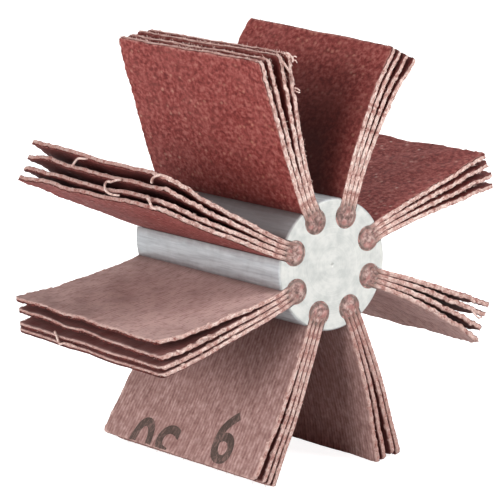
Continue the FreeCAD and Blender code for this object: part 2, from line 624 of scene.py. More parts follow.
def yarnMaterial():
    material, n, shader = newMaterial("looseYarn", looseYarn)
    place = n.objectPlace()
    twist = n.noise(place, "twistsPerMetre", 2.0, 0.6)
    stain = n.noise(place, "stainsPerMetre", 2.0, 0.6)
    soaked = n.spread(n.fromAxis(place), *looseYarn["soaked"], 0.0, 0.8)
    colour = n.layers(
        n.ramp(twist, (0.36, "shade"), (0.60, "bright")),
        (n.spread(stain, 0.52, 0.66, 0.0, 0.5), "stainedAndShaded"),
        # painted shade on the edge yarns of whole packs
        (n.kept("dull"), "stainedAndShaded"),
        (soaked, "root"),
    )
    surface(n, shader, colour, n.spread(twist, 0.2, 0.8, 0.78, 0.94), 0.25)
    bump(n, shader, twist, 0.6, 0.1 * mm)
    return material


resin = {
    "paintedRimShade": srgb(100, 86, 78),
    "dark": srgb(98, 70, 64),
    "mid": srgb(152, 118, 112),
    "pale": srgb(206, 176, 168),
    "strand": srgb(196, 130, 124),
    "lumpsPerMetre": 1500.0,
    "strandsPerMetre": 800.0,
}


def resinMaterial():
    material, n, shader = newMaterial("rootResin", resin)
    place = n.objectPlace()
    lump = n.noise(place, "lumpsPerMetre", 2.0, 0.6)
    strand = n.noise(place, "strandsPerMetre")
    outer = n.plus(n.kept("ringShare"), n.times(n.minus(lump, 0.5), 0.5))
    colour = n.layers(
        n.ramp(lump, (0.36, "dark"), (0.50, "mid"), (0.66, "pale")),
        (n.spread(strand, 0.50, 0.60, 0.0, 0.5), "strand"),
        # painted shade in the gap around the rim of the fill
        (n.spread(outer, 0.72, 0.96, 0.0, 0.8), "paintedRimShade"),
    )
    surface(n, shader, colour, n.spread(lump, 0.2, 0.8, 0.5, 0.85))
    bump(n, shader, n.plus(lump, n.times(strand, 0.5)), 0.7, 0.18 * mm)
    return material


hubLook = {
    "side": srgb(187, 191, 194),
    "sideDark": srgb(157, 160, 164),
    "face": srgb(209, 209, 205),
    "faceDark": srgb(187, 189, 186),
    # painted shade, and on one side a painted reflection of the dark flaps, on the hub's side
    "paintedSlotShade": srgb(108, 93, 92),
    "shadedSide": 11.0,           # in slots, between the third pack and the fourth
    "streaksPerMetre": 2300.0,
    "streakStretch": (1.0, 0.06, 1.0),
    "patchStretch": (1.0, 0.25, 1.0),
    "patchCoarser": 0.14,
    "ringsPerMetre": 4200.0,
    "mottlePerMetre": 700.0,
}


def streakGroup():
    # fine parallel tool marks along Y
    group, n, given, out = newGroup(
        "drawnStreak", hubLook,
        [("Vector", "NodeSocketVector"), ("Fineness", "NodeSocketFloat", "streaksPerMetre")],
        ["Streak", "Patch"],
    )
    vector, scale = given[0], given[1]
    coarse = n.times(scale, "patchCoarser")
    n.put(out["Streak"], n.noise(n.scaled(vector, "streakStretch"), scale, 3.0, 0.6))
    n.put(out["Patch"], n.noise(n.scaled(vector, "patchStretch"), coarse, 3.0, 0.6))
    return group


def slotTurn(n, place):
    # the turn about the hub axis, in slots; a slot lies halfway between two whole numbers
    at = n.axes(place)
    slots = flapShape["slots"]
    turn = n.math("DIVIDE", n.math("ARCTAN2", at[2], at[0]), math.tau / slots)
    return n.plus(turn, slots + 0.5 - flapShape["slotStart"] / (360 / slots))


def aluminiumMaterial(streak):
    material, n, shader = newMaterial("turnedAluminium", hubLook)
    place = n.objectPlace()
    radius = n.fromAxis(place)
    s = groupIn(n, streak, Vector=place, Fineness="streaksPerMetre")
    mottle = n.noise(place, "mottlePerMetre", 3.0, 0.55)

    turn = slotTurn(n, place)
    fromSlot = n.math("ABSOLUTE", n.minus(n.math("FRACT", turn), 0.5))
    # painted shade on the side: next to each slot, uneven, and between the third pack and the fourth, where
    # it also stands for a painted reflection of the dark flaps
    clearOfSlotShade = n.plus(n.spread(fromSlot, 0.14, 0.36), n.times(n.minus(mottle, 0.5), 0.6))
    fromShadedSide = n.math("ABSOLUTE", n.minus(turn, "shadedSide"))
    side = n.layers(
        n.ramp(s["Streak"], (0.32, "sideDark"), (0.60, "side")),
        (n.spread(s["Patch"], 0.50, 0.72, 0.0, 0.2), "sideDark"),
        (n.spread(clearOfSlotShade, 1.0, 0.15, 0.0, 0.85), "paintedSlotShade"),
        (n.spread(fromShadedSide, 0.75, 0.45, 0.0, 0.65), "paintedSlotShade"),
    )

    alongRadius = n.add("ShaderNodeCombineXYZ", X=radius).outputs[0]
    rings = n.minus(n.noise(alongRadius, "ringsPerMetre", 2.0, 0.6), 0.5)
    rings = n.times(rings, n.spread(radius, 0.2 * mm, 1.5 * mm))
    tone = n.weighted((rings, 0.30), (mottle, 0.70))
    face = n.ramp(tone, (0.23, "faceDark"), (0.45, "face"))

    normal = n.add("ShaderNodeNewGeometry").outputs["Normal"]
    onFace = n.spread(n.math("ABSOLUTE", n.axes(normal)[1]), 0.6, 0.9)
    roughness = n.plus(n.spread(s["Streak"], 0.3, 0.7, 0.42, 0.52), n.times(onFace, 0.12))
    surface(n, shader, n.mix(onFace, side, face), roughness)
    shader.inputs["Metallic"].default_value = 0.35
    lines = n.times(s["Streak"], n.minus(1.0, onFace))
    bump(n, shader, n.plus(lines, n.times(n.times(mottle, onFace), 0.3)), 0.22, 0.05 * mm)
    return material


hubLow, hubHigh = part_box("hub")
hubRadius = (hubHigh.z - hubLow.z) / 2
hubLength = hubHigh.y - hubLow.y

flapShape = {
    "inPack": 4,
    "thickness": 0.70 * mm,
    "gap": 0.03 * mm,
    "rootEnd": 6.3 * mm,
    "neckDepth": 0.9 * mm,
    "neckLength": 2.8 * mm,
    "reach": 31.75 * mm,
    "slotStart": 24.0,       # degrees, first pack, counter-clockwise from +X as seen from the front
    "slots": 8,
}

# How each pack has set, as in the CAD. Its flaps are listed from its counter-clockwise side: their
# turn at the neck at the front face and at the rear face, in degrees, the pack's turn from there to
# the tips, and how far each tip stands beyond the wheel's radius, in millimetres. Askew is how much
# further the tips of the pack reach at its front and rear corners, in millimetres, fray how ragged
# its borders are, the value after it how much painted shade darkens its outer faces at the foot,
# closed how long its flaps keep together, the next value how much painted light makes its cloth
# paler, and the one after it how much painted shade darkens its cut edges and edge yarns. TipWear is
# how far its tips are rubbed pale, footWear the same for the foot of its side edges, and fuzz how
# many short fibres its tips have against the others.
packs = [
    {
        "front": (-3.2, -5.6, -8.3, -10.6), "rear": (-2.9, -5.8, -8.8, -11.1), "bend": -3.5,
        "trims": (-0.1, 0.1, 0.1, -0.3), "askew": (0.25, 0.0), "fray": 1.0, "paintedFootShade": 0.15,
        "closed": 0.4, "paintedLight": 0.0, "dull": 0.0, "tipWear": 0.6, "footWear": 0.3, "fuzz": 1,
    },
    {
        "front": (4.5, 3.2, 1.3, -0.9), "rear": (4.0, 2.7, 0.8, -1.4), "bend": -18.0,
        "trims": (0.4, 0.3, 0.2, 0.2), "askew": (0.15, 1.75), "fray": 0.8, "paintedFootShade": 1.4,
        "closed": 0.8, "paintedLight": 0.0, "dull": 0.0, "tipWear": 0.6, "footWear": 1.6, "fuzz": 1,
    },
    {
        "front": (-3.6, -5.1, -8.7, -10.4), "rear": (-4.4, -6.5, -9.8, -11.8), "bend": -6.7,
        "trims": (0.7, 0.4, 0.1, -0.2), "askew": (0.0, 0.4), "fray": 1.1, "paintedFootShade": 0.0,
        "closed": 0.5, "paintedLight": 0.0, "dull": 0.0, "tipWear": 1.0, "footWear": 0.6, "fuzz": 2.6,
    },
    {
        "front": (-2.8, -3.8, -6.1, -8.6), "rear": (-2.7, -4.7, -8.0, -11.5), "bend": -2.4,
        "trims": (0.8, 0.3, 0.2, 0.4), "askew": (0.0, -0.2), "fray": 0.9, "paintedFootShade": 0.0,
        "closed": 0.3, "paintedLight": 0.0, "dull": 0.1, "tipWear": 0.75, "footWear": 0.0, "fuzz": 1,
    },
    {
        "front": (-4.6, -5.3, -7.0, -11.6), "rear": (-6.7, -7.1, -10.9, -13.9), "bend": -6.4,
        "trims": (0.4, 0.1, -0.4, -0.4), "askew": (0.1, 0.5), "fray": 0.8, "paintedFootShade": 0.2,
        "closed": 0.3, "paintedLight": 0.85, "dull": 0.0, "tipWear": 0.15, "footWear": 0.0, "fuzz": 1,
    },
    {
        "front": (1.4, 0.9, 0.4, -2.3), "rear": (-2.0, -2.6, -3.2, -5.9), "bend": -7.4,
        "trims": (0.6, 0.6, 0.4, 0.4), "askew": (0.2, 0.65), "fray": 0.4, "paintedFootShade": 0.3,
        "closed": 0.5, "paintedLight": 0.0, "dull": 0.3, "tipWear": 0.4, "footWear": 0.5, "fuzz": 0.3,
    },
    {
        "front": (-1.1, -1.5, -4.5, -5.8), "rear": (-1.9, -2.3, -5.3, -6.6), "bend": -10.7,
        "trims": (0.3, -0.2, -0.4, -0.4), "askew": (0.45, 1.0), "fray": 0.9, "paintedFootShade": 0.3,
        "closed": 0.4, "paintedLight": 0.0, "dull": 0.55, "tipWear": 0.5, "footWear": 0.4, "fuzz": 0.8,
    },
    {
        "front": (4.5, 2.2, -1.8, -4.5), "rear": (4.0, 1.7, -2.3, -4.5), "bend": -9.7,
        "trims": (-0.1, -0.5, -0.3, 0.2), "askew": (0.35, 0.2), "fray": 1.5, "paintedFootShade": 0.0,
        "closed": 0.6, "paintedLight": 0.6, "dull": 0.2, "tipWear": 0.7, "footWear": 1.2, "fuzz": 1.2,
    },
]

straight = hubRadius - flapShape["neckDepth"] - flapShape["rootEnd"]


def slotAngle(packIndex):
    return math.radians(flapShape["slotStart"] + packIndex * 360 / flapShape["slots"])


def flapLength(packIndex, flap):
    return flapShape["reach"] + packs[packIndex]["trims"][flap] * mm - flapShape["rootEnd"]


def arcStep(x, z, heading, distance, bendRate):
    # where a run of constant bend ends
    bendRate = np.where(np.abs(bendRate) > tiny, bendRate, tiny)
    after = heading + bendRate * distance
    x = x + (np.sin(after) - np.sin(heading)) / bendRate
    z = z - (np.cos(after) - np.cos(heading)) / bendRate
    return x, z, after


def sectionPoint(s, h, lean, bend, offset, blade):
    # s is how far along the flap from its root end, h how far out of its middle line
    neck = flapShape["neckLength"]
    x = flapShape["rootEnd"] + np.minimum(s, straight)
    inNeck = np.clip(s - straight, 0, neck)
    inBlade = np.maximum(s - straight - neck, 0)
    x, z, heading = arcStep(x, offset + 0 * s, 0 * s, inNeck, lean / neck)
    x, z, heading = arcStep(x, z, heading, inBlade, bend / blade)
    return x - h * np.sin(heading), z + h * np.cos(heading)


def leanAt(packIndex, flap, s, end):
    # a flap's turn at the neck; the flaps of a pack keep together at first and fan out further on
    leans = packs[packIndex][end]
    middle = sum(leans) / len(leans)
    together = packs[packIndex]["closed"] * np.clip(1 - s / flapLength(packIndex, flap), 0, 1)
    return np.radians(middle + (leans[flap] - middle) * (1 - together))


def placed(flat, packIndex, flap):
    # flat flap places (along, y, out) as points on the wheel
    pack = packs[packIndex]
    length = flapLength(packIndex, flap)
    offset = ((flapShape["inPack"] - 1) / 2 - flap) * (flapShape["thickness"] + flapShape["gap"])
    blade = length - straight - flapShape["neckLength"]
    bend = math.radians(pack["bend"])
    s, y, h = flat[:, 0], flat[:, 1], flat[:, 2]
    rear = np.clip(1 + y / hubLength, -0.1, 1.1)
    askew = pack["askew"][0] + (pack["askew"][1] - pack["askew"][0]) * rear
    s = s + askew * mm * np.clip(s / length, 0, 1) ** 2
    frontX, frontZ = sectionPoint(s, h, leanAt(packIndex, flap, s, "front"), bend, offset, blade)
    rearX, rearZ = sectionPoint(s, h, leanAt(packIndex, flap, s, "rear"), bend, offset, blade)
    x = frontX + (rearX - frontX) * rear
    z = frontZ + (rearZ - frontZ) * rear
    cos, sin = math.cos(slotAngle(packIndex)), math.sin(slotAngle(packIndex))
    return np.stack([x * cos - z * sin, y, x * sin + z * cos], 1)


def gapsBeside(packIndex, flap, s, y):
    # the clear gaps to the flaps next to it in its pack: the side each is on, and its width
    rear = np.clip(1 + y / hubLength, 0, 1)
    run = np.maximum(s - straight - flapShape["neckLength"] / 2, 0)
    for first, side in ((flap - 1, 1), (flap, -1)):
        if 0 <= first < flapShape["inPack"] - 1:
            front, back = (
                leanAt(packIndex, first, s, end) - leanAt(packIndex, first + 1, s, end)
                for end in ("front", "rear")
            )
            yield side, flapShape["gap"] + np.maximum(front + (back - front) * rear, 0) * run


def roomBeside(packIndex, flap, s, y):
    room = np.full_like(s, 4 * mm)
    for _, gap in gapsBeside(packIndex, flap, s, y):
        room = np.minimum(room, gap)
    return room


def shadeBetween(packIndex, flap, s, y, h, border):
    # painted shade: 0 on open faces and at the borders, toward 1 deep between two flaps
    shade = np.zeros_like(s)
    for side, gap in gapsBeside(packIndex, flap, s, y):
        reach = flapMesh["shadeReach"] + flapMesh["shadeSlope"] * gap
        shade = np.where(h * side > 0, 1 - np.exp(-np.maximum(border, 0) / reach), shade)
    return shade


def ripple(places, waves, seed):
    # smooth uneven values, about -1 to 1; waves lists (length, share)
    lot = random.Random(seed)
    total = np.zeros_like(places)
    for length, share in waves:
        total += share * np.sin(places * math.tau / length + lot.uniform(0, math.tau))
    return total


flapMesh = {
    "alongCells": 84,
    "acrossCells": 52,
    "crowdAlong": 0.25,        # how much closer the cells lie near the borders
    "crowdAcross": 0.80,
    "rimBevel": 0.09 * mm,
    "creaseAngle": 50,
    "ragged": 0.07 * mm,       # in the plane of the cloth
    "raggedTip": 0.06 * mm,
    "raggedDepth": 0.45 * mm,
    "raggedSlant": 0.8,
    "raggedMean": 0.3,
    "heldLength": 3 * mm,      # outside the slot, where the borders aren't ragged yet
    "packWave": 0.16 * mm,     # shared by the flaps of a pack
    "ownWave": 0.16 * mm,
    "crinkle": 0.11 * mm,      # along the cut borders
    "crinkleDepth": 1.3 * mm,
    # the painted shade between two flaps
    "shadeReach": 0.06 * mm,   # how soon the faces between two flaps turn dark inward
    "shadeSlope": 0.09,
    # the painted shade at the foot: where it ends, how far from the front edge it grows full, and its most
    "footShadeEnd": 28 * mm,       # from the hub's axis
    "footShadeFront": 9 * mm,
    "footShadeMost": 0.8,
    "roundCorner": 0.7 * mm,
    "cornerShare": 0.42,
    "tipDepth": 0.25 * mm,
    "footLength": 22 * mm,
}

flapWaves = {
    "ragged": [(0.71 * mm, 0.5), (1.9 * mm, 0.35), (1.23 * mm, 0.35), (5.1 * mm, 0.25)],
    "packAcross": [(23 * mm, 0.6), (11 * mm, 0.4)],
    "packAlong": [(13 * mm, 1.0)],
    "ownAcross": [(14 * mm, 0.6), (7.7 * mm, 0.4)],
    "ownAlong": [(5.9 * mm, 1.0)],
    "crinkle": [(2.9 * mm, 0.6), (1.9 * mm, 0.4)],
    "fineCrinkle": [(1.2 * mm, 1.0)],
}


def flapWave(packIndex, flap, s, y, length):
    # the stack waves together, each flap a little by itself, and the cut borders crinkle
    seed = packIndex * 10 + flap
    room = roomBeside(packIndex, flap, s, y)
    border = np.minimum(np.minimum(y + hubLength, -y), length - s)
    near = np.exp(-np.maximum(border, 0) / flapMesh["crinkleDepth"])
    outward = np.clip((s - straight - flapShape["neckLength"]) / (length * 0.6), 0, 1)
    together = ripple(y, flapWaves["packAcross"], packIndex + 4000)
    together = together + 0.5 * ripple(s + 0.4 * y, flapWaves["packAlong"], packIndex + 4500)
    alone = 0.6 * ripple(y, flapWaves["ownAcross"], seed + 5000)
    alone = alone + 0.4 * ripple(s + 0.6 * y, flapWaves["ownAlong"], seed + 5500)
    crinkle = 0.6 * ripple(s + y, flapWaves["crinkle"], seed + 6000)
    crinkle = crinkle + 0.45 * ripple(s - y, flapWaves["fineCrinkle"], seed + 6500)
    own = np.minimum(flapMesh["ownWave"], 0.22 * room) * alone
    crinkled = packs[packIndex]["fray"] * np.minimum(flapMesh["crinkle"], 0.24 * room) * near * crinkle
    return flapMesh["packWave"] * outward * together + own + crinkled


def makeFlap(packIndex, flap):
    length = flapLength(packIndex, flap)
    piece = flatFlap(f"abrasiveFlap_{packIndex + 1}_{flap + 1}", length)
    flat = readPoints(piece)
    keepPlaces(piece, "flat", flat)
    s, y, h = (flat[:, axis].copy() for axis in range(3))
    keepWear(piece, packIndex, flap, s, y, h, length)
    frayBorders(flat, packIndex, flap, length)
    flat[:, 2] += flapWave(packIndex, flap, s, y, length)
    writePoints(piece, placed(flat, packIndex, flap))
    smooth(piece, flapMesh["creaseAngle"])
    hand(piece, "abrasive_cloth", f"flap_{packIndex + 1}_{flap + 1}")


def flatFlap(name, length):
    clearSelection()
    along, across = flapMesh["alongCells"], flapMesh["acrossCells"]
    bpy.ops.mesh.primitive_grid_add(x_subdivisions=along, y_subdivisions=across, size=1)
    piece = named(name)
    flat = readPoints(piece)
    u, v = flat[:, 0] + 0.5, flat[:, 1] + 0.5
    u = u - flapMesh["crowdAlong"] * np.sin(math.tau * u) / math.tau
    v = v - flapMesh["crowdAcross"] * np.sin(math.tau * v) / math.tau
    flat[:, 0] = u * length
    flat[:, 1] = (v - 1) * hubLength
    writePoints(piece, flat)
    for side in ("grit", "cloth", "edge"):
        piece.data.materials.append(materials[side])
    thick = piece.modifiers.new("thickness", "SOLIDIFY")
    thick.thickness = flapShape["thickness"]
    thick.offset = 0
    thick.material_offset = 1
    thick.material_offset_rim = 2
    addBevel(piece, "rim", flapMesh["rimBevel"], 1, flapMesh["creaseAngle"])
    applyAll(piece)
    return piece


def keepWear(piece, packIndex, flap, s, y, h, length):
    # what the materials read: borders, tips, wear, painted shade between the flaps and at the foot, and
    # each pack's painted light and painted shade
    pack = packs[packIndex]
    fromFront, fromTip = y + hubLength, length - s
    border = np.minimum(np.minimum(fromFront, -y), fromTip)
    tipShare = np.exp(-np.maximum(fromTip, 0) / flapMesh["tipDepth"])
    low = np.clip(1 - (s - straight) / flapMesh["footLength"], 0, 1)
    # painted shade at the foot of the outer faces, fading outward and lighter toward the front edge
    footShadeLength = flapMesh["footShadeEnd"] - hubRadius
    foot = np.clip((flapMesh["footShadeEnd"] - flapShape["rootEnd"] - s) / footShadeLength, 0, 1)
    paintedFootShade = pack["paintedFootShade"] * foot * np.clip(fromFront / flapMesh["footShadeFront"], 0.2, 1)
    keepValues(piece, "border", border)
    keepValues(piece, "tipShare", tipShare)
    keepValues(piece, "tipWear", np.maximum(tipShare * pack["tipWear"], low * pack["footWear"]))
    keepValues(piece, "shade", shadeBetween(packIndex, flap, s, y, h, border))
    keepValues(piece, "paintedFootShade", np.minimum(paintedFootShade, flapMesh["footShadeMost"]))
    # painted light on each pack's cloth
    keepValues(piece, "paintedLight", np.full_like(s, pack["paintedLight"]))
    # painted shade on each pack's cut edges and edge yarns
    keepValues(piece, "dull", np.full_like(s, pack["dull"]))


def frayBorders(flat, packIndex, flap, length):
    # worn corners and ragged borders, in the plane of the cloth
    seed = packIndex * 10 + flap
    fray = packs[packIndex]["fray"]
    s, y, h = (flat[:, axis].copy() for axis in range(3))
    fromFront, fromRear, fromTip = y + hubLength, -y, length - s
    for fromSide, sign in ((fromFront, 1), (fromRear, -1)):
        reach = flapMesh["roundCorner"] * random.Random(seed + sign).uniform(0.4, 1.3) * fray
        cut = np.maximum(reach - fromTip, 0) * np.maximum(reach - fromSide, 0) / reach
        flat[:, 0] -= cut * flapMesh["cornerShare"]
        flat[:, 1] += sign * cut * flapMesh["cornerShare"]

    def ragged(fromSide, most, places, sideSeed):
        near = np.exp(-np.maximum(fromSide, 0) / flapMesh["raggedDepth"])
        return near * fray * most * (flapMesh["raggedMean"] + ripple(places, flapWaves["ragged"], sideSeed))

    free = np.clip((s - straight) / flapMesh["heldLength"], 0, 1)
    slant = h * flapMesh["raggedSlant"]
    flat[:, 1] += free * ragged(fromFront, flapMesh["ragged"], s + slant, seed)
    flat[:, 1] -= free * ragged(fromRear, flapMesh["ragged"], s - slant, seed + 1000)
    flat[:, 0] -= ragged(fromTip, flapMesh["raggedTip"], y + slant, seed + 2000)


def readPoints(piece):
    points = np.empty(len(piece.data.vertices) * 3)
    piece.data.vertices.foreach_get("co", points)
    return points.reshape(-1, 3)


def writePoints(piece, points):
    piece.data.vertices.foreach_set("co", np.ascontiguousarray(points, dtype=float).ravel())
    piece.data.update()


def keepPlaces(piece, name, points):
    # where each point lay on the flat cloth, for the weave and the cut edges
    layer = piece.data.attributes.new(name, "FLOAT_VECTOR", "POINT")
    layer.data.foreach_set("vector", np.ascontiguousarray(points, dtype=float).ravel())


def keepValues(piece, name, values):
    layer = piece.data.attributes.new(name, "FLOAT", "POINT")
    layer.data.foreach_set("value", np.ascontiguousarray(values, dtype=float))


def newStrands(name):
    curve = bpy.data.curves.new(name, "CURVE")
    curve.dimensions = "3D"
    curve.bevel_depth = 1.0
    curve.bevel_resolution = 1
    curve.use_fill_caps = True
    return curve


def strand(curve, points, radii):
    # one run of yarn, drawn thin at both ends
    spline = curve.splines.new("POLY")
    spline.points.add(len(points) - 1)
    for target, point, radius in zip(spline.points, points, radii):
        target.co = (*point, 1)
        target.radius = radius
    spline.points[0].radius *= 0.6
    spline.points[-1].radius *= 0.4


def tubesFrom(curve, name, material):
    # one mesh from all the strands of a curve
    holder = bpy.data.objects.new(name + "Curve", curve)
    bpy.context.scene.collection.objects.link(holder)
    bpy.context.view_layer.update()
    mesh = bpy.data.meshes.new_from_object(holder.evaluated_get(bpy.context.evaluated_depsgraph_get()))
    mesh.name = name
    bpy.data.objects.remove(holder)
    piece = bpy.data.objects.new(name, mesh)
    bpy.context.scene.collection.objects.link(piece)
    dress(piece, material)
    pick(piece)
    bpy.ops.object.shade_smooth()
    hand(piece, "abrasive_cloth")
    return piece


fibre = {
    "radius": 0.028 * mm,
    "counts": {"front": 70, "rear": 50, "tip": 55},
    "tipShorter": 0.6,
    "sideFlatter": 0.6,
    "length": (0.25 * mm, 0.9 * mm),
    "lengthShares": (0.5, 0.7, 1.0),
    "heights": (-0.42, 0.12),      # shares of the thickness
    "sunk": 0.05 * mm,
    "curl": np.array((1, 1, 0.4)),
}


def makeFibres(packIndex):
    lot = random.Random(500 + packIndex)
    curve = newStrands(f"fibres{packIndex}")
    for flap in range(flapShape["inPack"]):
        for side, count in fibre["counts"].items():
            if side == "tip":
                count = int(count * packs[packIndex]["fuzz"])
            for _ in range(count):
                flat = fibreRun(lot, side, flapLength(packIndex, flap))
                strand(curve, placed(flat, packIndex, flap), [fibre["radius"]] * len(flat))
    tubesFrom(curve, f"edgeFibres_{packIndex + 1}", materials["thread"])


def fibreRun(lot, side, length):
    # four points of a short fibre that stands out of a cut border
    h = lot.uniform(*fibre["heights"]) * flapShape["thickness"]
    size = lot.uniform(*fibre["length"]) * lot.choice(fibre["lengthShares"])
    out = lot.uniform(0.25, 1.0)
    slip = lot.uniform(-1.0, 1.0)
    rise = lot.uniform(-0.25, 0.25)
    if side == "tip":
        size *= fibre["tipShorter"]
        start = (length - fibre["sunk"], lot.uniform(-hubLength, 0), h)
        way = (out, slip, rise)
    else:
        along = lot.uniform(straight + flapShape["neckLength"] * 0.6, length)
        y, sign = (-hubLength + fibre["sunk"], -1) if side == "front" else (-fibre["sunk"], 1)
        start = (along, y, h)
        way = (slip, sign * out * fibre["sideFlatter"], rise)
    curl = np.array([lot.uniform(-0.5, 0.5) for _ in range(3)])
    shares = [step / 3 for step in range(4)]
    return np.array([start + size * t * (way + curl * t * fibre["curl"]) for t in shares])


# Each cut side of a flap keeps its outermost yarn, which has come loose here and there.
edgeYarn = {
    "start": 0.9 * mm,          # from the flap's root end
    "endsBefore": 0.25 * mm,    # its tip
    "radius": 0.25 * mm,
    "out": -0.07 * mm,          # from the flap's middle line toward its cloth side
    "sunkAtRoot": 0.10 * mm,
    "rootLength": 1.5 * mm,
    "looseLength": 6 * mm,
    "proud": 0.02 * mm,
    "wander": 0.16 * mm,
    "step": 0.30 * mm,
    "uneven": 0.22,
    "swayWaves": [(3.1 * mm, 0.45), (1.9 * mm, 0.4), (1.1 * mm, 0.3)],
    "liftWaves": [(3.7 * mm, 0.6), (1.5 * mm, 0.5)],
    "thickWaves": [(2.3 * mm, 0.6), (0.9 * mm, 0.4)],
}


def makeEdgeYarns(packIndex):
    curve = newStrands(f"edgeYarns{packIndex}")
    e = edgeYarn
    for flap in range(flapShape["inPack"]):
        length = flapLength(packIndex, flap)
        for side in ("front", "rear"):
            lot = random.Random(packIndex * 100 + flap * 10 + (side == "front"))
            s = np.arange(e["start"], length - e["endsBefore"], e["step"])
            seed = lot.randint(1, 9999)
            loose = np.clip((s - straight) / e["looseLength"], 0.2, 1)
            atRoot = np.clip(1 - (s - straight) / e["rootLength"], 0, 1)
            sway = ripple(s, e["swayWaves"], seed)
            lift = ripple(s, e["liftWaves"], seed + 1)
            radii = e["radius"] * (1 + e["uneven"] * ripple(s, e["thickWaves"], seed + 2))
            proud = e["proud"] + 0.5 * e["wander"] * loose * lift
            depth = e["radius"] - proud + atRoot * (e["sunkAtRoot"] - e["radius"])
            y = -hubLength + depth if side == "front" else -depth
            out = e["out"] + e["wander"] * loose * sway + flapWave(packIndex, flap, s, y, length)
            strand(curve, placed(np.stack([s, y, out], 1), packIndex, flap), radii)
    piece = tubesFrom(curve, f"edgeYarns_{packIndex + 1}", materials["thread"])
    # the pack's painted shade on its edge yarns
    keepValues(piece, "dull", np.full(len(piece.data.vertices), packs[packIndex]["dull"]))


# Threads that hang loose: pack, flap, radius and points. A point is how far along the flap, how
# far from the front edge and how far out of the flap's middle, in millimetres.
looseThreads = [
    (4, 4, 0.20, [
        (26.15, 2.74, 1.4), (26.2, 2.95, 0.8), (26.2, 2.5, 0.3), (26.15, 1.65, -0.05),
        (26.0, 0.6, -0.1), (25.3, 0.0, -0.15),
    ]),
    (4, 3, 0.19, [
        (25.9, 10.2, 0.1), (26.05, 11.2, 0.4), (26.1, 12.1, 0.8), (26.15, 12.9, 0.9),
        (26.15, 13.15, 1.4), (26.15, 12.6, 2.1), (26.1, 11.5, 2.45), (26.0, 10.4, 2.45),
        (25.9, 9.2, 2.3),
    ]),
    (4, 1, 0.19, [
        (26.4, 2.6, -1.3), (26.6, 2.4, -1.1), (26.6, 1.65, -0.7), (26.5, 0.65, 0.0), (26.1, 0.0, 0.1),
    ]),
    (4, 4, 0.18, [
        (26.1, 22.2, 2.1), (26.1, 22.0, 1.2), (26.1, 21.6, 0.7), (26.0, 20.6, 0.5), (25.8, 19.8, 0.3),
    ]),
    (5, 1, 0.19, [
        (26.1, 24.8, -2.0), (26.15, 24.4, -1.2), (26.2, 24.0, -0.2), (26.15, 22.9, -0.5),
        (26.1, 21.3, -0.6), (25.8, 20.2, -0.3),
    ]),
    (3, 4, 0.15, [
        (25.2, 0.9, 0.2), (25.35, 0.2, 0.2), (25.0, -0.35, 0.1), (24.5, -0.35, -0.25), (24.0, -0.2, -0.2),
    ]),
    (3, 4, 0.11, [(24.6, 0.0, -0.1), (24.8, -0.4, -0.5), (24.6, -0.5, -0.8)]),
    (3, 4, 0.10, [(24.3, 0.0, -0.2), (24.2, -0.4, -0.6), (23.8, -0.5, -0.75)]),
    (3, 3, 0.17, [
        (25.2, 0.3, 0.3), (24.6, -0.3, 0.1), (23.6, -0.35, -0.4), (22.5, -0.3, -1.0), (21.4, -0.1, -1.3),
    ]),
    (3, 4, 0.12, [(20.4, -0.1, -0.1), (20.2, -0.4, -0.4), (19.8, -0.5, -0.65)]),
    (3, 4, 0.10, [(20.0, -0.1, -0.1), (19.7, -0.4, -0.45), (19.6, -0.5, -0.7)]),
    (5, 3, 0.16, [
        (19.0, -0.1, -0.3), (18.2, -0.5, -0.7), (17.1, -0.6, -0.5), (16.2, -0.4, -0.1), (15.4, -0.1, -0.3),
    ]),
    (8, 2, 0.15, [(21.5, -0.1, -0.2), (22.3, -0.5, -0.8), (23.2, -0.5, -1.0), (24.0, -0.2, -0.6)]),
]


def smoothRun(points):
    # a smooth way through a few points
    way = []
    for i in range(len(points) - 1):
        a, b = points[max(i - 1, 0)], points[i]
        c, d = points[i + 1], points[min(i + 2, len(points) - 1)]
        for t in np.linspace(0, 1, 7)[:-1]:
            square = (2 * a - 5 * b + 4 * c - d) * t * t
            cube = (3 * b - a - 3 * c + d) * t ** 3
            way.append(0.5 * (2 * b + (c - a) * t + square + cube))
    way.append(points[-1])
    return np.array(way)


def makeLooseThreads():
    curve = newStrands("looseThreads")
    for pack, flap, radius, points in looseThreads:
        flat = np.array([[s * mm, -hubLength + y * mm, h * mm] for s, y, h in points])
        way = smoothRun(placed(flat, pack - 1, flap - 1))
        strand(curve, way, radius * mm * np.linspace(1.0, 0.85, len(way)))
    tubesFrom(curve, "looseThreads", materials["thread"])


# Plain numbers printed on the outer cloth of one flap, part of them cut off at its tip.
printed = {
    "pack": 6,
    "flap": 4,
    "height": 7.5 * mm,
    "heightShare": 0.7,         # of the font size
    "bolder": 0.17 * mm,
    "gapToCloth": 0.03 * mm,
    "endsBefore": 0.12 * mm,    # the flap's tip
    "grid": 0.8 * mm,
    "marks": [
        # text, foot of the glyphs along the flap, left side from the front edge
        ("30", 22.2 * mm, 18.1 * mm),
        ("9", 17.7 * mm, 6.0 * mm),
    ],
    "dark": srgb(74, 60, 55),
    "mid": srgb(96, 80, 74),
    "worn": srgb(140, 112, 106),
    "specksPerMetre": (1500, 2600, 1),
    "patchesPerMetre": (380, 380, 1),
}


def inkMaterial():
    material, n, shader = newMaterial("printInk", printed)
    flat = n.kept("flat", "Vector")
    speck = n.flatNoise(flat, "specksPerMetre", 3.0, 0.65)
    tone = n.weighted((speck, 0.7), (n.flatNoise(flat, "patchesPerMetre"), 0.3))
    colour = n.ramp(tone, (0.36, "dark"), (0.52, "mid"), (0.64, "worn"))
    surface(n, shader, colour, n.spread(speck, 0.2, 0.8, 0.75, 0.92), 0.25)
    return material


